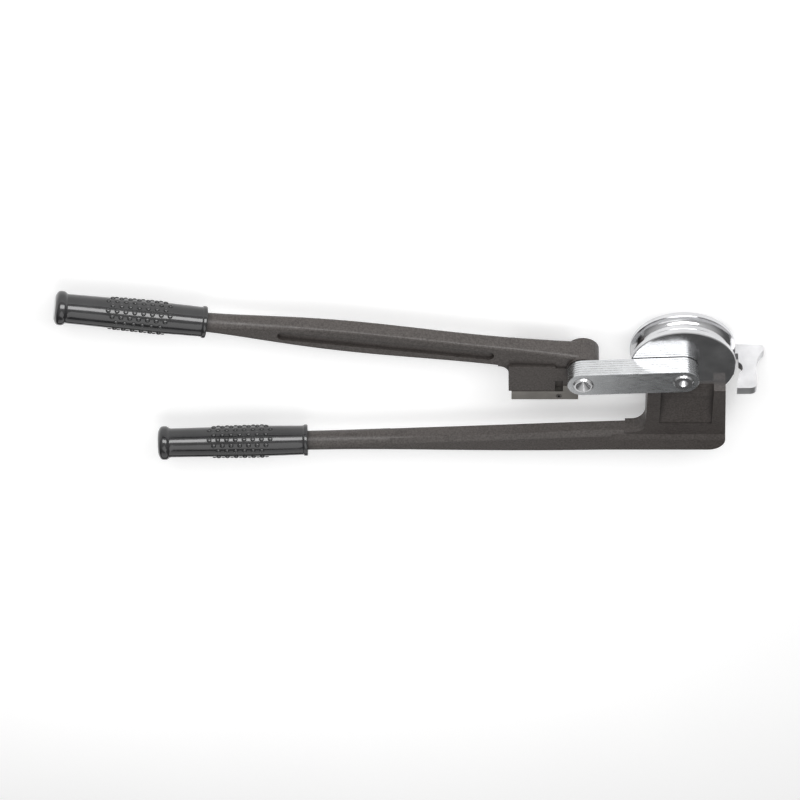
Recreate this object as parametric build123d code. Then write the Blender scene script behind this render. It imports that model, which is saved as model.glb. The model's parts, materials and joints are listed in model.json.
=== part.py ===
from build123d import *
import math
import os

# Lever type tube bender, lying on its back: X runs along the handles towards the form wheel, Z is up out of
# the front face. It is laid out about the wheel's pivot, and the export puts the origin under the middle.

# Form wheel and tube
WHEEL_R = 38.9
WHEEL_HALF = 10.15
TUBE_R = 6.35
WHEEL_FLAT_Y = -30.0
EDGE = 0.6
DOWEL_X = (-14.0, 12.0)
DOWEL_Y = -24.0
DOWEL_R = 2.5
DOWEL_TOP = 6.0

# Pivots and running gaps
PIN_R = 6.0
RUNNING = 0.05
SEAT = 0.02
SIDE_GAP = 0.3
LEVER_PIVOT = (-73.5, -3.6)
PIN_FOOT_Z = -12.4

# Laminated link
PLATE_COUNT = 7
PLATE_T = 2.1
LINK_R = 11.25
LINK_BACK_Z = WHEEL_HALF + SIDE_GAP
LINK_FRONT_Z = LINK_BACK_Z + PLATE_COUNT * PLATE_T

# Fixed handle
HEAD_LEFT = -25.7
HEAD_RIGHT = 34.3
HEAD_DRAFT = 2.5
HEAD_TOP = -18.1
HEAD_BOTTOM = -101.6
HEAD_FRONT_Z = 18.65
HEAD_BACK_Z = -12.7
STUB_LEFT = -53.7
ARM_TOP = -81.5
ARM_BOTTOM = -103.0
ARM_HALF_T = 7.0
ARM_EASE = 1.2
ARM_RISE = 3.1
VALLEY_Y = -84.5
VALLEY_Z = 6.0
VALLEY_END_Y = -90.0
INNER_R = 10.0
OUTER_R = 12.0
POCKET_LEFT = -15.8
POCKET_RIGHT = 23.2
POCKET_STEP_Y = -33.0
POCKET_HIGH_Z = 11.5
POCKET_LOW_Z = 8.4

# Round shafts and grips
SHAFT_R = 7.2
GRIP_LEN = 111.6
GRIP_WALL_END = 5.0
GRIP_COLLAR_R = 12.8
FIXED_GRIP_END = (-388.2, -102.8)
FIXED_GRIP_TILT = 1.9

# Lever handle, in a frame whose origin is the lever pivot
LEVER_TILT = -8.73
LEVER_LEN = 391.4
EYE_R = 12.0
BUSH_R = 8.0
BLOCK_LEFT = -54.4
BLOCK_NOTCH = (-20.2, -14.3)
BLOCK_BOTTOM = -25.6
BLOCK_HALF = 9.5
SHOE_BOTTOM = -34.9
SHOE_LEFT = -52.2
SHOE_RIGHT = -2.9
SHOE_HALF = 10.0
SHOE_LUG_TOP = -19.1
RECESS_LEN = 161.0
RECESS_WIDTH = 9.0
RECESS_X = -146.7
RECESS_Y = 0.2
RECESS_FLOOR_Z = 3.8
SHOE_DOWEL_X = (-44.0, -28.0)
SHOE_DOWEL_R = 2.5
SHOE_DOWEL_Y = (-27.8, -17.0)
SHOE_SCREW = (-17.25, -31.0)
SHOE_SCREW_R = 2.2

# Tube latch, which swings about a pin along Y behind the wheel
LATCH_Y = (-21.0, -14.0)
LATCH_PIN_X = 27.0
LATCH_PIN_Z = -18.0
LATCH_PIN_R = 2.5
LATCH_EYE_R = 4.3
LATCH_BACK_Z = -22.5
LATCH_FRONT_Z = 19.1
LATCH_OUTER_X = 54.5
BRACKET_LEFT = 17.5
BRACKET_WALL = 3.0
BRACKET_BASE_T = 2.0
BRACKET_FOOT_Y = -48.0
BRACKET_SEAT_Z = -12.2
BRACKET_SCREW_X = 25.0
BRACKET_SCREW_Y = (-34.0, -43.0)
BRACKET_SCREW_R = 2.0
BRACKET_SCREW_TIP = -5.0


def span_box(x, y, z):
    """A block between two values on each axis."""
    size = (x[1] - x[0], y[1] - y[0], z[1] - z[0])
    centre = ((x[0] + x[1]) / 2, (y[0] + y[1]) / 2, (z[0] + z[1]) / 2)
    return Pos(*centre) * Box(*size)


def rod(x, y, z_low, z_high, radius):
    """A cylinder along Z between two heights."""
    return Pos(x, y, (z_low + z_high) / 2) * Cylinder(radius, z_high - z_low)


def cone(x, y, z_low, z_high, low_r, high_r):
    """A cone along Z between two heights."""
    return Pos(x, y, (z_low + z_high) / 2) * Cone(low_r, high_r, z_high - z_low)


def prism_x(points, x_low, x_high):
    """An outline of (y, z) points, carried along X."""
    face = Plane.YZ.offset(x_low) * make_face(Polyline(*points, close=True))
    return extrude(face, x_high - x_low)


def bar_section(x, y, height, thickness, corner):
    """A rounded section of a bar that runs along X, centred at y."""
    plane = Plane(origin=(x, y, 0), x_dir=(0, 1, 0), z_dir=(1, 0, 0))
    return plane * RectangleRounded(height, thickness, corner)


def bar(sections):
    """A bar lofted through its sections."""
    faces = [bar_section(*section) for section in sections]
    return loft(faces)


def form_wheel():
    disc = Cylinder(WHEEL_R, 2 * WHEEL_HALF)
    disc = chamfer(disc.edges().filter_by(GeomType.CIRCLE), EDGE)
    disc -= Torus(WHEEL_R, TUBE_R)
    disc -= span_box((-50, 50), (-50, WHEEL_FLAT_Y), (-20, 20))
    disc -= rod(0, 0, -20, 20, PIN_R + SEAT)
    for x in DOWEL_X:
        disc -= rod(x, DOWEL_Y, -20, DOWEL_TOP, DOWEL_R + SEAT)
    return disc


def wheel_dowels():
    dowels = [rod(x, DOWEL_Y, HEAD_BACK_Z, DOWEL_TOP, DOWEL_R) for x in DOWEL_X]
    return Compound(children=dowels)


def head_outline():
    """The L of the fixed handle's head in plan, with its inner and outer corners rounded."""
    corners = [
        (STUB_LEFT, ARM_BOTTOM),
        (HEAD_RIGHT, HEAD_BOTTOM),
        (HEAD_RIGHT - HEAD_DRAFT, HEAD_TOP),
        (HEAD_LEFT, HEAD_TOP),
        (HEAD_LEFT, ARM_TOP),
        (STUB_LEFT, ARM_TOP),
    ]
    face = make_face(Polyline(*corners, close=True))
    outer = face.vertices().sort_by_distance(Vector(HEAD_RIGHT, HEAD_BOTTOM, 0))[0]
    face = fillet(outer, OUTER_R)
    inner = face.vertices().sort_by_distance(Vector(HEAD_LEFT, ARM_TOP, 0))[0]
    return fillet(inner, INNER_R)


def head_relief(sign, top_z, slope_start):
    """What is cut off one face of the head: a slope down to a valley, the arm's flat, and its eased edge."""
    outline = [
        (slope_start, sign * top_z),
        (VALLEY_Y, sign * VALLEY_Z),
        (VALLEY_END_Y, sign * ARM_HALF_T),
        (ARM_BOTTOM + ARM_EASE, sign * ARM_HALF_T),
        (ARM_BOTTOM - 1, sign * (ARM_HALF_T - ARM_EASE - 1)),
        (ARM_BOTTOM - 5, sign * (ARM_HALF_T - ARM_EASE - 1)),
        (ARM_BOTTOM - 5, sign * 40),
        (slope_start, sign * 40),
    ]
    return prism_x(outline, -120, 60)


def fixed_handle():
    head = Pos(0, 0, HEAD_BACK_Z) * extrude(head_outline(), HEAD_FRONT_Z - HEAD_BACK_Z)
    head -= head_relief(1, HEAD_FRONT_Z, HEAD_TOP)
    head -= head_relief(-1, -HEAD_BACK_Z, -60)
    slot = WHEEL_HALF + SEAT
    head -= span_box((-60, 60), (WHEEL_FLAT_Y - SEAT, 0), (-slot, slot))
    head -= span_box((POCKET_LEFT, POCKET_RIGHT), (POCKET_STEP_Y, 0), (POCKET_HIGH_Z, 40))
    head -= span_box((POCKET_LEFT, POCKET_RIGHT), (-68, POCKET_STEP_Y), (POCKET_LOW_Z, 40))
    for x in DOWEL_X:
        head -= rod(x, DOWEL_Y, -20, 0, DOWEL_R + SEAT)
    seat_low = BRACKET_FOOT_Y - SEAT
    head -= span_box((BRACKET_LEFT - SEAT, 60), (seat_low, 0), (HEAD_BACK_Z - 5, BRACKET_SEAT_Z))
    for y in BRACKET_SCREW_Y:
        head -= rod(BRACKET_SCREW_X, y, -20, BRACKET_SCREW_TIP, BRACKET_SCREW_R + SEAT)

    tilt = math.radians(FIXED_GRIP_TILT)
    shaft_start = (
        FIXED_GRIP_END[0] + (GRIP_LEN - 12) * math.cos(tilt),
        FIXED_GRIP_END[1] + (GRIP_LEN - 12) * math.sin(tilt),
    )
    join = (STUB_LEFT + 3, ARM_TOP - 0.25)
    sections = [
        (shaft_start[0], shaft_start[1], 2 * SHAFT_R, 2 * SHAFT_R, SHAFT_R - 0.02),
        (-245, -98.3, 14.7, 14.6, 7.2),
        (-200, -97.1, 15.4, 14.0, 5.0),
        (-149, -95.9, 17.2, 13.8, 3.0),
        (-90, -93.7, 20.4, 13.8, 2.0),
        (join[0], (ARM_TOP + ARM_BOTTOM) / 2, ARM_TOP - ARM_BOTTOM - 0.5, 13.7, 1.3),
    ]
    casting = bar(sections) + head
    for sign in (1, -1):
        bevel = [(1.2, sign * 3.8), (-4.25, sign * 6.9), (-4.25, sign * 20), (1.2, sign * 20)]
        casting -= Pos(*join, 0) * Rot(0, 0, ARM_RISE) * prism_x(bevel, -165, 10)
    tang = Pos(*FIXED_GRIP_END, 0) * Rot(0, 0, FIXED_GRIP_TILT) * grip_tang()
    return casting + tang


def grip_tang():
    """The round end of a handle that fills a grip, running along +X from the grip's closed end."""
    length = GRIP_LEN - GRIP_WALL_END - 8
    return Pos(GRIP_WALL_END + length / 2, 0, 0) * Rot(0, 90, 0) * Cylinder(SHAFT_R - 0.5, length)


def grip():
    """A moulded grip along +X, with its closed end at the origin."""
    outline = [
        (0, 0),
        (0, GRIP_COLLAR_R - 4),
        (1.2, GRIP_COLLAR_R - 1.2),
        (2.5, GRIP_COLLAR_R),
        (7.0, GRIP_COLLAR_R),
        (8.6, 11.0),
        (40, 11.4),
        (75, 11.8),
        (GRIP_LEN - 3, 11.0),
        (GRIP_LEN - 2.4, 11.9),
        (GRIP_LEN, 11.9),
        (GRIP_LEN, 0),
    ]
    face = make_face(Polyline(*outline, close=True))
    body = revolve(face, Axis.X, 360)
    bore = Pos(GRIP_WALL_END + GRIP_LEN / 2, 0, 0) * Rot(0, 90, 0) * Cylinder(SHAFT_R - 0.5 + SEAT, GRIP_LEN)
    mouth = Pos(GRIP_LEN - 6, 0, 0) * Rot(0, 90, 0) * Cylinder(SHAFT_R + 0.35, 14)
    return body - bore - mouth


def fixed_grip():
    return Pos(*FIXED_GRIP_END, 0) * Rot(0, 0, FIXED_GRIP_TILT) * grip()


def link_plate(index):
    """One lamination of the link. The front one is a little larger than the rest."""
    dx, dy = LEVER_PIVOT
    length = math.hypot(dx, dy)
    radius = LINK_R + (0.35 if index == PLATE_COUNT - 1 else 0)
    outline = SlotCenterToCenter(length, 2 * radius)
    plate = extrude(outline, PLATE_T)
    rims = plate.faces().filter_by(Axis.Z).edges()
    plate = chamfer(rims, 0.28)
    z = LINK_BACK_Z + index * PLATE_T
    plate = Pos(dx / 2, dy / 2, z) * Rot(0, 0, math.degrees(math.atan2(dy, dx)) + 180) * plate
    plate -= rod(0, 0, 0, 40, PIN_R + RUNNING)
    plate -= rod(dx, dy, 0, 40, PIN_R + SEAT)
    return plate


def pivot_pin(x, y, foot_top, dimple_r):
    """A headed pin through the link, with a flared and dimpled front end."""
    pin = rod(x, y, PIN_FOOT_Z, LINK_FRONT_Z + 0.3, PIN_R)
    pin += rod(x, y, PIN_FOOT_Z, foot_top, PIN_R + 2.4)
    pin += cone(x, y, LINK_FRONT_Z + 0.1, LINK_FRONT_Z + 1.3, PIN_R + 1.6, PIN_R + 0.6)
    pin -= cone(x, y, LINK_FRONT_Z - 3.0, LINK_FRONT_Z + 1.4, 0.6, dimple_r)
    return pin


def wheel_pin():
    return pivot_pin(0, 0, -WHEEL_HALF, 3.6)


def lever_pin():
    return pivot_pin(*LEVER_PIVOT, -WHEEL_HALF - SIDE_GAP, 5.6)


def on_lever(shape):
    """Moves a shape laid out about the lever pivot to its place."""
    return Pos(*LEVER_PIVOT, 0) * shape


def lever_bush():
    return on_lever(Cylinder(BUSH_R, 2 * WHEEL_HALF) - Cylinder(PIN_R + RUNNING, 60))


def lever_handle():
    sections = [
        (-LEVER_LEN + GRIP_LEN - 12, 0, 2 * SHAFT_R, 2 * SHAFT_R, SHAFT_R - 0.02),
        (-258, 0, 16.0, 13.6, 6.0),
        (-205, 0, 21.8, 12.6, 3.0),
        (-90, 0, 21.2, 12.2, 2.4),
        (-44, 0, 21.8, 13.5, 3.0),
        (-2, 0, 22.6, 18.0, 4.0),
    ]
    arm = bar(sections)
    recess = extrude(SlotOverall(RECESS_LEN, RECESS_WIDTH), 10)
    arm -= Pos(RECESS_X, RECESS_Y, RECESS_FLOOR_Z) * recess
    arm -= Pos(RECESS_X, RECESS_Y, -RECESS_FLOOR_Z - 10) * recess
    arm += Pos(-LEVER_LEN, 0, 0) * grip_tang()
    arm = Rot(0, 0, LEVER_TILT) * arm

    block = span_box((BLOCK_LEFT, BLOCK_NOTCH[0]), (BLOCK_BOTTOM, 2), (-BLOCK_HALF, BLOCK_HALF))
    heel = span_box((BLOCK_NOTCH[0], -4), (SHOE_LUG_TOP + SEAT, 0), (-BLOCK_HALF, BLOCK_HALF))
    recessed = BLOCK_HALF - 4.0
    web = span_box(BLOCK_NOTCH, (BLOCK_BOTTOM, SHOE_LUG_TOP), (-recessed, recessed))
    heel -= span_box(BLOCK_NOTCH, (BLOCK_BOTTOM, -14), (recessed, 20))
    heel -= span_box(BLOCK_NOTCH, (BLOCK_BOTTOM, -14), (-20, -recessed))
    root_r = 8.0
    root_y = -1.2
    root = span_box((BLOCK_LEFT - root_r, BLOCK_LEFT), (root_y - root_r, root_y + 3), (-6, 6))
    root -= rod(BLOCK_LEFT - root_r, root_y - root_r, -20, 20, root_r)
    casting = arm + block + heel + web + root + Cylinder(EYE_R, 2 * WHEEL_HALF)
    casting -= Cylinder(BUSH_R + SEAT, 60)
    for x in SHOE_DOWEL_X:
        casting -= dowel_y(x, SHOE_DOWEL_R + SEAT)
    return on_lever(casting)


def dowel_y(x, radius):
    """A rod along Y across the joint between the casting and the shoe."""
    low, high = SHOE_DOWEL_Y
    return Pos(x, (low + high) / 2, 0) * Rot(90, 0, 0) * Cylinder(radius, high - low)


def bend_shoe():
    shoe = span_box((SHOE_LEFT, SHOE_RIGHT), (SHOE_BOTTOM, BLOCK_BOTTOM), (-SHOE_HALF, SHOE_HALF))
    shoe += span_box((BLOCK_NOTCH[1], SHOE_RIGHT), (BLOCK_BOTTOM, SHOE_LUG_TOP), (-SHOE_HALF, SHOE_HALF))
    shoe -= Pos(-27, SHOE_BOTTOM, 0) * Rot(0, 90, 0) * Cylinder(TUBE_R, 80)
    for x in SHOE_DOWEL_X:
        shoe -= dowel_y(x, SHOE_DOWEL_R + SEAT)
    for sign in (1, -1):
        low, high = sorted((sign * 6.4, sign * 12))
        shoe -= rod(*SHOE_SCREW, low, high, SHOE_SCREW_R + SEAT)
    return on_lever(shoe)


def shoe_dowels():
    return on_lever(Compound(children=[dowel_y(x, SHOE_DOWEL_R) for x in SHOE_DOWEL_X]))


def shoe_screws():
    screws = []
    for sign in (1, -1):
        low, high = sorted((sign * 6.4, sign * (SHOE_HALF + 0.2)))
        screw = rod(*SHOE_SCREW, low, high, SHOE_SCREW_R)
        hex_low = SHOE_HALF - 1.2 if sign > 0 else -SHOE_HALF - 0.2
        socket = Pos(*SHOE_SCREW, hex_low) * extrude(RegularPolygon(1.2, 6), 1.4)
        screws.append(screw - socket)
    return on_lever(Compound(children=screws))


def lever_grip():
    return on_lever(Rot(0, 0, LEVER_TILT) * Pos(-LEVER_LEN, 0, 0) * grip())


def latch_outline():
    """The latch in the XZ plane: pivot end at the back, thumb tab outside, and a nose before the tube."""
    tab = (60.3, -16.4)
    outline = [
        Line((LATCH_PIN_X, -22.3), (LATCH_OUTER_X + 3.5, LATCH_BACK_Z)),
        ThreePointArc((LATCH_OUTER_X + 3.5, LATCH_BACK_Z), (60.4, -20.4), tab),
        Spline(tab, (55.6, -8.0), (LATCH_OUTER_X, 4.0), (55.0, 13.5)),
        ThreePointArc((55.0, 13.5), (53.6, 17.4), (50.0, LATCH_FRONT_Z)),
        Line((50.0, LATCH_FRONT_Z), (40.0, LATCH_FRONT_Z)),
        Line((40.0, LATCH_FRONT_Z), (40.6, 12.4)),
        Line((40.6, 12.4), (41.9, 6.4)),
        Line((41.9, 6.4), (41.5, -13.7)),
        Line((41.5, -13.7), (LATCH_PIN_X, -13.7)),
        Line((LATCH_PIN_X, -13.7), (LATCH_PIN_X, -22.3)),
    ]
    return outline


def tube_latch():
    face = make_face(Wire(latch_outline()))
    flat = Plane(origin=(0, LATCH_Y[1], 0), x_dir=(1, 0, 0), z_dir=(0, -1, 0)) * face
    latch = extrude(flat, LATCH_Y[1] - LATCH_Y[0])
    middle = sum(LATCH_Y) / 2
    eye = Cylinder(LATCH_EYE_R, LATCH_Y[1] - LATCH_Y[0])
    latch += Pos(LATCH_PIN_X, middle, LATCH_PIN_Z) * Rot(90, 0, 0) * eye
    latch -= Pos(LATCH_PIN_X, middle, LATCH_PIN_Z) * Rot(90, 0, 0) * Cylinder(LATCH_PIN_R + RUNNING, 40)
    latch -= Pos(WHEEL_R - 0.8, middle, 0) * Rot(90, 0, 0) * Cylinder(TUBE_R + 0.25, 40)
    return latch


def latch_bracket():
    """A clevis on the back of the head, with its foot under the head and two screw holes."""
    y_low = LATCH_Y[0] - SIDE_GAP - BRACKET_WALL
    y_high = LATCH_Y[1] + SIDE_GAP + BRACKET_WALL
    x = (BRACKET_LEFT, LATCH_PIN_X + 5)
    body = span_box(x, (y_low, y_high), (LATCH_BACK_Z, BRACKET_SEAT_Z))
    cavity_y = (LATCH_Y[0] - SIDE_GAP, LATCH_Y[1] + SIDE_GAP)
    body -= span_box((BRACKET_LEFT + BRACKET_WALL, 60), cavity_y, (-40, 0))
    body += span_box(x, (BRACKET_FOOT_Y, y_low), (BRACKET_SEAT_Z - BRACKET_BASE_T, BRACKET_SEAT_Z))
    body -= Pos(LATCH_PIN_X, 0, LATCH_PIN_Z) * Rot(90, 0, 0) * Cylinder(LATCH_PIN_R + SEAT, 80)
    for y in BRACKET_SCREW_Y:
        body -= rod(BRACKET_SCREW_X, y, -20, 0, BRACKET_SCREW_R + SEAT)
    return body


def latch_pin():
    low = LATCH_Y[0] - SIDE_GAP - BRACKET_WALL - 0.4
    high = LATCH_Y[1] + SIDE_GAP + BRACKET_WALL + 0.4
    return Pos(LATCH_PIN_X, (low + high) / 2, LATCH_PIN_Z) * Rot(90, 0, 0) * Cylinder(LATCH_PIN_R, high - low)


def bracket_screws():
    screws = []
    head_top = BRACKET_SEAT_Z - BRACKET_BASE_T
    for y in BRACKET_SCREW_Y:
        screw = rod(BRACKET_SCREW_X, y, head_top - 2.2, head_top, 3.6)
        screw += rod(BRACKET_SCREW_X, y, head_top - 0.5, BRACKET_SCREW_TIP, BRACKET_SCREW_R)
        screw -= Pos(BRACKET_SCREW_X, y, head_top - 2.2) * extrude(RegularPolygon(1.7, 6), 1.4)
        screws.append(screw)
    return Compound(children=screws)


def all_parts():
    parts = {
        "fixed_handle": fixed_handle(),
        "fixed_grip": fixed_grip(),
        "form_wheel": form_wheel(),
        "wheel_dowels": wheel_dowels(),
        "wheel_pin": wheel_pin(),
        "lever_pin": lever_pin(),
        "lever_bush": lever_bush(),
        "lever_handle": lever_handle(),
        "lever_grip": lever_grip(),
        "bend_shoe": bend_shoe(),
        "shoe_dowels": shoe_dowels(),
        "shoe_screws": shoe_screws(),
        "tube_latch": tube_latch(),
        "latch_bracket": latch_bracket(),
        "latch_pin": latch_pin(),
        "bracket_screws": bracket_screws(),
    }
    for index in range(PLATE_COUNT):
        parts[f"link_plate_{index + 1}"] = link_plate(index)
    return parts


def origin_of(parts):
    """The point under the middle of the whole tool, in the wheel pivot's frame."""
    box = Compound(children=[Compound(part.solids()) for part in parts.values()]).bounding_box()
    middle = box.center()
    return Vector(round(middle.X, 2), round(middle.Y, 2), round(box.min.Z, 2))


parts = all_parts()
origin = origin_of(parts)
os.makedirs("parts", exist_ok=True)
for name, part in parts.items():
    export_step(Pos(-origin.X, -origin.Y, -origin.Z) * part, f"parts/{name}.step")
print(f"origin from the wheel pivot: {origin.X}, {origin.Y}, {origin.Z}")
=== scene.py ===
import json
import math

import bmesh
import bpy
from mathutils import Matrix, Vector


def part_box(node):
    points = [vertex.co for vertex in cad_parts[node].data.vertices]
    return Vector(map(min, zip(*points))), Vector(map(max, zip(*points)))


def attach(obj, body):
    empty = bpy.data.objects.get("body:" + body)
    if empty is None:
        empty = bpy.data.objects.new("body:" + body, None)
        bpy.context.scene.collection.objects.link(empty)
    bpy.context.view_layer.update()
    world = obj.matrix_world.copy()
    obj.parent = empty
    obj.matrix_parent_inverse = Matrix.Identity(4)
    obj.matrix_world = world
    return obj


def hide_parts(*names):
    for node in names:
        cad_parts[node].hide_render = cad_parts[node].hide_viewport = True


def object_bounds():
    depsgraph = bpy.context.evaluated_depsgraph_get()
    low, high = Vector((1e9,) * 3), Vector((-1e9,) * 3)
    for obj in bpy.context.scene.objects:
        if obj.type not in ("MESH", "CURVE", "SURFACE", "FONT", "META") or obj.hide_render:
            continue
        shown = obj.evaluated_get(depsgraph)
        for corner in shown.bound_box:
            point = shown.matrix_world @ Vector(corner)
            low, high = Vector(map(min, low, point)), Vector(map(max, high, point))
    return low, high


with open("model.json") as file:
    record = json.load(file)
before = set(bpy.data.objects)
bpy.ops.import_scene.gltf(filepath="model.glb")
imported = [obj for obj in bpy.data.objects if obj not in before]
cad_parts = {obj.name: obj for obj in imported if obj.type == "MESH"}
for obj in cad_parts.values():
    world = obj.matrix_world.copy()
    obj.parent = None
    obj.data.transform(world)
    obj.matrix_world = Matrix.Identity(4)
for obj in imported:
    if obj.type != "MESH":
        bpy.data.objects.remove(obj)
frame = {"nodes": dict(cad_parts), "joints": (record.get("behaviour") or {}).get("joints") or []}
cad_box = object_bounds()
nodes = frame["nodes"]
joints = {joint["name"]: joint for joint in frame["joints"]}
WHEEL_PIVOT = Vector(joints["link_swing"]["pos_m"])
LEVER_PIVOT = Vector(joints["lever_swing"]["pos_m"])
MM = 0.001

# Where the two grips' closed ends are, and how far each handle leans from X
FIXED_TILT = math.radians(1.9)
LEVER_TILT = math.radians(-8.73)
LEVER_LEN = 391.4 * MM
FIXED_GRIP_END = WHEEL_PIVOT + Vector((-388.2, -102.8, 0)) * MM
LEVER_GRIP_END = LEVER_PIVOT - LEVER_LEN * Vector((math.cos(LEVER_TILT), math.sin(LEVER_TILT), 0))

# Grip sleeve in metres: distance from the closed end and outer radius, through collar, barrel and lip
GRIP_LEN = 111.6 * MM
GRIP_SIDES = 72
GRIP_PROFILE = [
    (0.0, 0.0088), (0.0005, 0.0100), (0.0014, 0.0116), (0.0026, 0.01255), (0.0042, 0.0128),
    (0.0062, 0.0127), (0.0075, 0.0120), (0.0084, 0.0112), (0.0096, 0.0109), (0.040, 0.0112),
    (0.075, 0.0116), (0.1070, 0.0110), (0.1082, 0.0111), (0.1090, 0.0118), (0.1106, 0.0119),
    (0.1116, 0.0115),
]
COLLAR_STATIONS = [
    0.0, 0.0003, 0.0008, 0.0014, 0.0020, 0.0026, 0.0034, 0.0042, 0.0052,
    0.0062, 0.0069, 0.0075, 0.0080, 0.0084, 0.0090, 0.0096, 0.012,
]
BARREL_STATIONS = [0.016 + 0.004 * step for step in range(23)]
LIP_STATIONS = [0.1070, 0.1078, 0.1082, 0.1086, 0.1090, 0.1096, 0.1106, 0.1112, 0.1116]
DOME_RINGS = ((0.80, -0.0001), (0.55, -0.00015), (0.25, -0.0002))
MOUTH_RINGS = ((0.0095, GRIP_LEN), (0.0078, GRIP_LEN - 0.0004), (0.0076, GRIP_LEN - 0.006))

# Raised studs: how many stand in each row of a panel, and the height and radius of one stud in metres
STUD_COUNTS = (6, 7, 8, 7, 8, 7, 6)
STUD_PITCH = 0.0065
STUD_MIDDLE = 0.0612
STUD_ROW_STEP = math.radians(22.5)
STUD_CENTRE_ROW = 2.6
STUD_SIDES = 12
STUD_STRETCH = 1.05
STUD_LEVELS = [
    (-0.0006, 0.00185), (0.0002, 0.00180), (0.0006, 0.00155), (0.0009, 0.00110), (0.00105, 0.00055),
]

# Camera: it looks down past the lever at the front face, with the lever handle at the top of the picture
VIEW_TILT = math.radians(51)
VIEW_WIDTH = 588.0 * MM
VIEW_DISTANCE = 6.0
VIEW_FAR_CLIP = 50
WHEEL_RIGHT_OF_MIDDLE = 208.005 * MM
WHEEL_ABOVE_MIDDLE = 24.6225 * MM

FLOOR_SIZE = 14
FLOOR_GAP = 0.0002

# ---------------------------------------------------------------- material helpers

MIX_FACTOR, MIX_FIRST, MIX_SECOND, MIX_COLOUR_OUT = 0, 6, 7, 2


class Graph:
    """A material's node tree, with short calls for the nodes that every finish here uses."""

    def __init__(self, name):
        self.material = bpy.data.materials.new(name)
        self.material.use_nodes = True
        self.tree = self.material.node_tree
        self.tree.nodes.clear()
        output = self.add("ShaderNodeOutputMaterial")
        self.shader = self.add("ShaderNodeBsdfPrincipled")
        self.link(self.shader, "BSDF", output, "Surface")
        self.place = self.add("ShaderNodeTexCoord")

    def add(self, kind, **values):
        node = self.tree.nodes.new(kind)
        for key, value in values.items():
            setattr(node, key, value)
        return node

    def link(self, source, output, target, socket):
        self.tree.links.new(source.outputs[output], target.inputs[socket])

    def feed(self, source, output, socket):
        """Links a node to one of the shader's own sockets."""
        self.link(source, output, self.shader, socket)

    def constant(self, socket, value):
        self.shader.inputs[socket].default_value = value

    def noise(self, scale, detail=4.0, roughness=0.55, stretch=None):
        texture = self.add("ShaderNodeTexNoise")
        texture.inputs["Scale"].default_value = scale
        texture.inputs["Detail"].default_value = detail
        texture.inputs["Roughness"].default_value = roughness
        if stretch is None:
            self.link(self.place, "Object", texture, "Vector")
        else:
            mapping = self.add("ShaderNodeMapping")
            mapping.inputs["Scale"].default_value = stretch
            self.link(self.place, "Object", mapping, "Vector")
            self.link(mapping, "Vector", texture, "Vector")
        return texture

    def ramp(self, source, stops):
        """Colours by a noise's Fac, through stops of (position, colour)."""
        ramp = self.add("ShaderNodeValToRGB")
        self.link(source, "Fac", ramp, "Fac")
        for element, (position, colour) in zip(ramp.color_ramp.elements, stops):
            element.position = position
            element.color = (*colour, 1.0)
        return ramp

    def value_range(self, source, output, low, high, out_low, out_high):
        span = self.add("ShaderNodeMapRange")
        span.inputs["From Min"].default_value = low
        span.inputs["From Max"].default_value = high
        span.inputs["To Min"].default_value = out_low
        span.inputs["To Max"].default_value = out_high
        self.link(source, output, span, "Value")
        return span

    def bump(self, source, strength, distance, below=None):
        """Raises the surface by a noise's Fac, over another bump if one is given."""
        bump = self.add("ShaderNodeBump")
        bump.inputs["Strength"].default_value = strength
        bump.inputs["Distance"].default_value = distance
        self.link(source, "Fac", bump, "Height")
        if below is not None:
            self.link(below, "Normal", bump, "Normal")
        self.feed(bump, "Normal", "Normal")
        return bump

    def edge_wear(self, radius):
        """How much a point lies on an edge, from 0 to 1, by comparing bevelled and true normals."""
        bevel = self.add("ShaderNodeBevel", samples=4)
        bevel.inputs["Radius"].default_value = radius
        geometry = self.add("ShaderNodeNewGeometry")
        dot = self.add("ShaderNodeVectorMath", operation="DOT_PRODUCT")
        self.link(bevel, "Normal", dot, 0)
        self.link(geometry, "Normal", dot, 1)
        return self.value_range(dot, "Value", 0.97, 0.80, 0.0, 1.0)

    def painted_shade_mask(self, distance):
        """How open a point is, from 0 in a corner or a crack to 1 on a free face, as a mask for painting
        shade into corners and cracks.
        """
        shade = self.add("ShaderNodeAmbientOcclusion", samples=6)
        shade.inputs["Distance"].default_value = distance
        return self.value_range(shade, "AO", 0.35, 0.95, 0.0, 1.0)

    def mix(self, factor, output, first, second):
        """Mixes two colours, each a node's colour output or a plain colour, and gives the colour output."""
        mix = self.add("ShaderNodeMix", data_type="RGBA")
        self.link(factor, output, mix, MIX_FACTOR)
        for socket, value in ((MIX_FIRST, first), (MIX_SECOND, second)):
            if isinstance(value, tuple):
                mix.inputs[socket].default_value = (*value, 1.0)
            else:
                self.tree.links.new(value, mix.inputs[socket])
        return mix.outputs[MIX_COLOUR_OUT]

    def base_colour(self, output):
        self.tree.links.new(output, self.shader.inputs["Base Color"])


# ---------------------------------------------------------------- finishes


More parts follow.
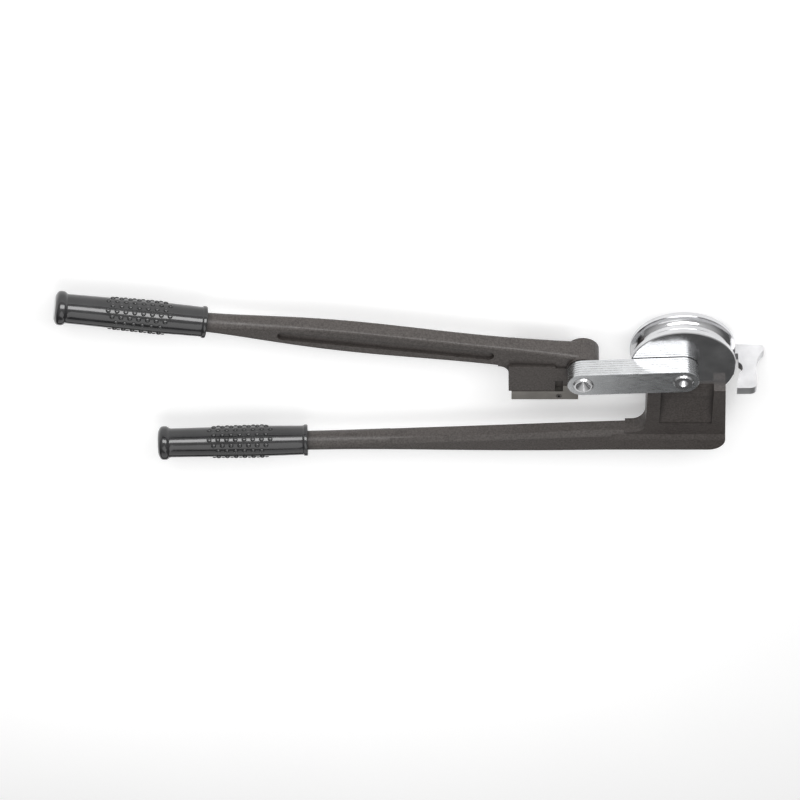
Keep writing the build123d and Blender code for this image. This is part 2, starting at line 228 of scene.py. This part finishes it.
def cast_paint():
    """Dark brown-grey sprayed paint over a sand casting, lighter at its worn edges, with painted shade
    darkening its corners.
    """
    g = Graph("brown_black_paint")
    cloud = g.noise(38.0, 5.0)
    dull = g.ramp(cloud, [(0.3, (0.027, 0.022, 0.020)), (0.7, (0.040, 0.034, 0.031))])
    speckle = g.value_range(g.noise(750.0, 2.0), "Fac", 0.34, 0.66, 0.0, 1.0)
    tone = g.mix(speckle, "Result", dull.outputs["Color"], (0.066, 0.058, 0.054))
    wear = g.edge_wear(0.0007)
    patches = g.value_range(g.noise(520.0, 3.0), "Fac", 0.42, 0.62, 0.0, 0.55)
    rubbed = g.add("ShaderNodeMath", operation="MULTIPLY")
    g.link(wear, "Result", rubbed, 0)
    g.link(patches, "Result", rubbed, 1)
    worn = g.mix(rubbed, "Value", tone, (0.13, 0.12, 0.11))
    # Painted shade: corners and recesses are pulled towards near-black brown by ambient occlusion.
    g.base_colour(g.mix(g.painted_shade_mask(0.005), "Result", (0.014, 0.011, 0.010), worn))
    shine = g.value_range(cloud, "Fac", 0.25, 0.75, 0.36, 0.50)
    g.feed(shine, "Result", "Roughness")
    sand = g.bump(g.noise(900.0, 3.0), 0.40, 0.0003)
    g.bump(g.noise(210.0, 2.0), 0.30, 0.0006, below=sand)
    g.constant("Specular IOR Level", 0.45)
    return g.material


def vinyl():
    """Glossy black dipped vinyl with faint handling haze."""
    g = Graph("black_vinyl")
    haze = g.noise(60.0, 4.0)
    tone = g.ramp(haze, [(0.3, (0.006, 0.006, 0.0065)), (0.75, (0.016, 0.016, 0.017))])
    g.feed(tone, "Color", "Base Color")
    shine = g.value_range(haze, "Fac", 0.3, 0.75, 0.12, 0.24)
    g.feed(shine, "Result", "Roughness")
    g.bump(g.noise(95.0, 2.0, stretch=(0.35, 1.0, 1.0)), 0.25, 0.0012)
    g.constant("Coat Weight", 0.5)
    g.constant("Coat Roughness", 0.06)
    return g.material


def brushed(name, low, high, rough, stretch):
    """Metal with a fine grain drawn out along one direction, a cloudy tone, and painted shade in its cracks.
    """
    g = Graph(name)
    tone = g.ramp(g.noise(42.0, 4.0), [(0.3, low), (0.72, high)])
    # Painted shade: cracks and gaps between parts are pulled towards dark brown-grey by ambient occlusion.
    g.base_colour(g.mix(g.painted_shade_mask(0.0012), "Result", (0.10, 0.09, 0.08), tone.outputs["Color"]))
    grain = g.noise(900.0, 3.0, stretch=stretch)
    shine = g.value_range(grain, "Fac", 0.3, 0.7, rough - 0.05, rough + 0.08)
    g.feed(shine, "Result", "Roughness")
    g.bump(grain, 0.12, 0.0001)
    g.constant("Metallic", 1.0)
    return g.material


def turned(name, low, high, rough, centre):
    """Metal with fine turning lines that run round an axis along Z through the centre."""
    g = Graph(name)
    offset = g.add("ShaderNodeVectorMath", operation="SUBTRACT")
    offset.inputs[1].default_value = centre
    g.link(g.place, "Object", offset, 0)
    flatten = g.add("ShaderNodeVectorMath", operation="MULTIPLY")
    flatten.inputs[1].default_value = (1.0, 1.0, 0.0)
    g.link(offset, "Vector", flatten, 0)
    radius = g.add("ShaderNodeVectorMath", operation="LENGTH")
    g.link(flatten, "Vector", radius, 0)
    split = g.add("ShaderNodeSeparateXYZ")
    g.link(offset, "Vector", split, "Vector")
    lines = g.add("ShaderNodeCombineXYZ")
    g.link(radius, "Value", lines, "X")
    g.link(split, "Z", lines, "Y")
    rings = g.add("ShaderNodeTexNoise")
    rings.inputs["Scale"].default_value = 2600.0
    rings.inputs["Detail"].default_value = 3.0
    g.link(lines, "Vector", rings, "Vector")
    cloud = g.noise(55.0, 3.0)
    tone = g.ramp(cloud, [(0.3, low), (0.72, high)])
    g.feed(tone, "Color", "Base Color")
    shine = g.value_range(cloud, "Fac", 0.3, 0.7, rough - 0.04, rough + 0.07)
    g.feed(shine, "Result", "Roughness")
    g.bump(rings, 0.10, 0.00008)
    g.constant("Metallic", 1.0)
    return g.material


def tumbled(name, low, high, rough):
    """Bright tumbled casting: a soft pebbled skin."""
    g = Graph(name)
    cloud = g.noise(70.0, 4.0)
    tone = g.ramp(cloud, [(0.3, low), (0.72, high)])
    g.feed(tone, "Color", "Base Color")
    shine = g.value_range(cloud, "Fac", 0.3, 0.7, rough - 0.06, rough + 0.08)
    g.feed(shine, "Result", "Roughness")
    g.bump(g.noise(650.0, 4.0, 0.6), 0.35, 0.0002)
    g.constant("Metallic", 0.9)
    return g.material


paint = cast_paint()
grip_vinyl = vinyl()
wheel_metal = turned("bright_plated_steel", (0.55, 0.55, 0.56), (0.68, 0.68, 0.69), 0.14, tuple(WHEEL_PIVOT))
pin_metal = turned("pin_steel", (0.60, 0.60, 0.61), (0.76, 0.76, 0.77), 0.12, tuple(LEVER_PIVOT))
zinc = brushed("zinc_steel", (0.50, 0.51, 0.52), (0.62, 0.63, 0.64), 0.26, (0.12, 1.0, 1.0))
shoe_metal = brushed("shoe_steel", (0.20, 0.19, 0.175), (0.30, 0.285, 0.265), 0.38, (0.10, 1.0, 1.0))
dark_metal = brushed("dark_steel", (0.10, 0.095, 0.09), (0.18, 0.17, 0.165), 0.32, (1.0, 1.0, 0.1))
bronze = brushed("bronze", (0.44, 0.30, 0.14), (0.58, 0.42, 0.22), 0.34, (1.0, 1.0, 0.2))
latch_metal = tumbled("cast_bright_steel", (0.58, 0.58, 0.59), (0.74, 0.74, 0.75), 0.34)

finishes = {
    "fixed_handle": paint,
    "lever_handle": paint,
    "form_wheel": wheel_metal,
    "wheel_pin": wheel_metal,
    "lever_pin": pin_metal,
    "lever_bush": bronze,
    "bend_shoe": shoe_metal,
    "wheel_dowels": dark_metal,
    "shoe_dowels": dark_metal,
    "shoe_screws": dark_metal,
    "latch_pin": dark_metal,
    "latch_bracket": zinc,
    "bracket_screws": zinc,
    "tube_latch": latch_metal,
}
for name, node in nodes.items():
    finish = zinc if name.startswith("link_plate") else finishes.get(name)
    if finish is not None:
        node.data.materials.clear()
        node.data.materials.append(finish)

# ---------------------------------------------------------------- grips


def grip_radius(x):
    """The sleeve's outer radius at a distance from its closed end."""
    for (x0, r0), (x1, r1) in zip(GRIP_PROFILE, GRIP_PROFILE[1:]):
        if x <= x1:
            return r0 + (r1 - r0) * ((x - x0) / (x1 - x0))
    return GRIP_PROFILE[-1][1]


def ring_at(mesh, x, radius):
    """A ring of vertices round the X axis."""
    angles = [2 * math.pi * side / GRIP_SIDES for side in range(GRIP_SIDES)]
    return [mesh.verts.new((x, radius * math.cos(angle), radius * math.sin(angle))) for angle in angles]


def bridge(mesh, first, second):
    """A band of faces between two rings."""
    count = len(first)
    for side in range(count):
        after = (side + 1) % count
        mesh.faces.new((first[side], first[after], second[after], second[side]))


def stud_centres():
    """The raised studs: two panels of staggered rows, with a plain seam between the panels."""
    centres = []
    for row, count in enumerate(STUD_COUNTS):
        for panel in (0, math.pi):
            angle = panel + STUD_ROW_STEP * (row - STUD_CENTRE_ROW)
            first = STUD_MIDDLE - STUD_PITCH * (count - 1) / 2
            centres += [(first + STUD_PITCH * column, angle) for column in range(count)]
    return centres


def add_stud(mesh, x, angle, radius):
    """A low domed stud, a closed form sunk a little into the sleeve."""
    out = Vector((0, math.cos(angle), math.sin(angle)))
    along = Vector((1, 0, 0))
    across = out.cross(along)
    rings = []
    for height, r in STUD_LEVELS:
        ring = []
        for side in range(STUD_SIDES):
            turn = 2 * math.pi * side / STUD_SIDES
            point = out * (radius + height)
            point += along * (x + STUD_STRETCH * r * math.cos(turn)) + across * (r * math.sin(turn))
            ring.append(mesh.verts.new(point))
        rings.append(ring)
    for first, second in zip(rings, rings[1:]):
        bridge(mesh, first, second)
    mesh.faces.new(rings[-1])
    mesh.faces.new(list(reversed(rings[0])))


def add_sleeve(mesh):
    """The sleeve's closed skin: a nearly flat dome, the outside, and a mouth turned in round the shaft."""
    rings = [ring_at(mesh, x, grip_radius(x)) for x in COLLAR_STATIONS + BARREL_STATIONS + LIP_STATIONS]
    for first, second in zip(rings, rings[1:]):
        bridge(mesh, first, second)
    dome = rings[0]
    for shrink, x in DOME_RINGS:
        ring = [mesh.verts.new((x, v.co.y * shrink, v.co.z * shrink)) for v in rings[0]]
        bridge(mesh, ring, dome)
        dome = ring
    mesh.faces.new(list(reversed(dome)))
    mouth = rings[-1]
    for radius, x in MOUTH_RINGS:
        ring = ring_at(mesh, x, radius)
        bridge(mesh, mouth, ring)
        mouth = ring
    mesh.faces.new(mouth)


def build_grip(name, end, tilt):
    """A vinyl sleeve with a rolled collar, a lip at its mouth and rows of raised studs."""
    mesh = bmesh.new()
    add_sleeve(mesh)
    for x, angle in stud_centres():
        add_stud(mesh, x, angle, grip_radius(x))
    bmesh.ops.recalc_face_normals(mesh, faces=mesh.faces[:])
    data = bpy.data.meshes.new(name)
    mesh.to_mesh(data)
    mesh.free()
    data.polygons.foreach_set("use_smooth", [True] * len(data.polygons))
    data.transform(Matrix.Translation(end) @ Matrix.Rotation(tilt, 4, "Z"))
    data.materials.append(grip_vinyl)
    piece = bpy.data.objects.new(name, data)
    bpy.context.scene.collection.objects.link(piece)
    return piece


grips = (
    ("fixed_grip", "frame", FIXED_GRIP_END, FIXED_TILT),
    ("lever_grip", "lever", LEVER_GRIP_END, LEVER_TILT),
)
for node, body, end, tilt in grips:
    grip = build_grip(node + "_sleeve", end, tilt)
    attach(grip, body)
    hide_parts(node)

# ---------------------------------------------------------------- stage, light and camera


def stage_material():
    """White paper, faintly uneven, with a little light of its own so that it stays white under the tool."""
    g = Graph("stage_white")
    tone = g.ramp(g.noise(3.0, 2.0), [(0.3, (0.93, 0.93, 0.93)), (0.7, (0.95, 0.95, 0.95))])
    g.feed(tone, "Color", "Base Color")
    g.constant("Roughness", 0.9)
    g.constant("Specular IOR Level", 0.1)
    g.feed(tone, "Color", "Emission Color")
    g.constant("Emission Strength", 0.25)
    return g.material


def area_light(name, place, target, size, power):
    data = bpy.data.lights.new(name, "AREA")
    data.shape = "RECTANGLE"
    data.size, data.size_y = size
    data.energy = power
    light = bpy.data.objects.new(name, data)
    bpy.context.scene.collection.objects.link(light)
    light.location = place
    light.rotation_euler = (target - place).to_track_quat("-Z", "Y").to_euler()


def studio_world():
    """A sky that is bright over the lever's side and dim in front, for light and dark bands in the metal."""
    sky = bpy.data.worlds.new("studio")
    sky.use_nodes = True
    tree = sky.node_tree
    place = tree.nodes.new("ShaderNodeTexCoord")
    split = tree.nodes.new("ShaderNodeSeparateXYZ")
    tree.links.new(place.outputs["Generated"], split.inputs["Vector"])
    span = tree.nodes.new("ShaderNodeMapRange")
    span.inputs["From Min"].default_value = -0.85
    span.inputs["From Max"].default_value = 0.85
    tree.links.new(split.outputs["Y"], span.inputs["Value"])
    ramp = tree.nodes.new("ShaderNodeValToRGB")
    stops = [(0.0, 0.10), (0.30, 0.14), (0.55, 0.42), (1.0, 0.75)]
    elements = ramp.color_ramp.elements
    while len(elements) < len(stops):
        elements.new(0.5)
    for element, (position, level) in zip(elements, stops):
        element.position = position
        element.color = (level, level, level, 1.0)
    tree.links.new(span.outputs["Result"], ramp.inputs["Fac"])
    tree.links.new(ramp.outputs["Color"], tree.nodes["Background"].inputs["Color"])
    tree.nodes["Background"].inputs["Strength"].default_value = 1.0
    return sky


def place_camera():
    """A long-lens camera whose picture is VIEW_WIDTH wide at the wheel's front face."""
    right = Vector((1, 0, 0))
    up = Vector((0, math.cos(VIEW_TILT), -math.sin(VIEW_TILT)))
    toward = Vector((0, math.sin(VIEW_TILT), math.cos(VIEW_TILT)))
    wheel_front = Vector((WHEEL_PIVOT.x, WHEEL_PIVOT.y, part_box("form_wheel")[1].z))
    aim = wheel_front - right * WHEEL_RIGHT_OF_MIDDLE - up * WHEEL_ABOVE_MIDDLE
    rotation = Matrix((right, up, toward)).transposed()
    data = bpy.data.cameras.new("camera")
    data.lens_unit = "FOV"
    data.angle = 2 * math.atan(VIEW_WIDTH / 2 / VIEW_DISTANCE)
    data.clip_end = VIEW_FAR_CLIP
    camera = bpy.data.objects.new("camera", data)
    bpy.context.scene.collection.objects.link(camera)
    camera.matrix_world = Matrix.Translation(aim + toward * VIEW_DISTANCE) @ rotation.to_4x4()
    bpy.context.scene.camera = camera


bpy.ops.mesh.primitive_plane_add(size=FLOOR_SIZE, location=(0, 0, cad_box[0][2] - FLOOR_GAP))
floor = bpy.context.object
floor.name = "floor"
floor.data.materials.append(stage_material())

middle = (Vector(cad_box[0]) + Vector(cad_box[1])) / 2
area_light("key", middle + Vector((0.15, 1.10, 0.62)), middle, (1.5, 0.5), 15)
area_light("top", middle + Vector((0.1, 0.1, 1.6)), middle, (1.6, 1.0), 6)
# A low panel on the front side, whose right edge is mirrored halfway along the link.
panel_from = Vector((0, -0.777, 0.629))
panel_aim = Vector((WHEEL_PIVOT.x - 0.35, WHEEL_PIVOT.y, 0.04))
area_light("panel", panel_aim + panel_from * 0.5, panel_aim, (0.6, 0.35), 0.5)
bpy.context.scene.world = studio_world()
place_camera()
bpy.context.scene.view_settings.view_transform = "Standard"
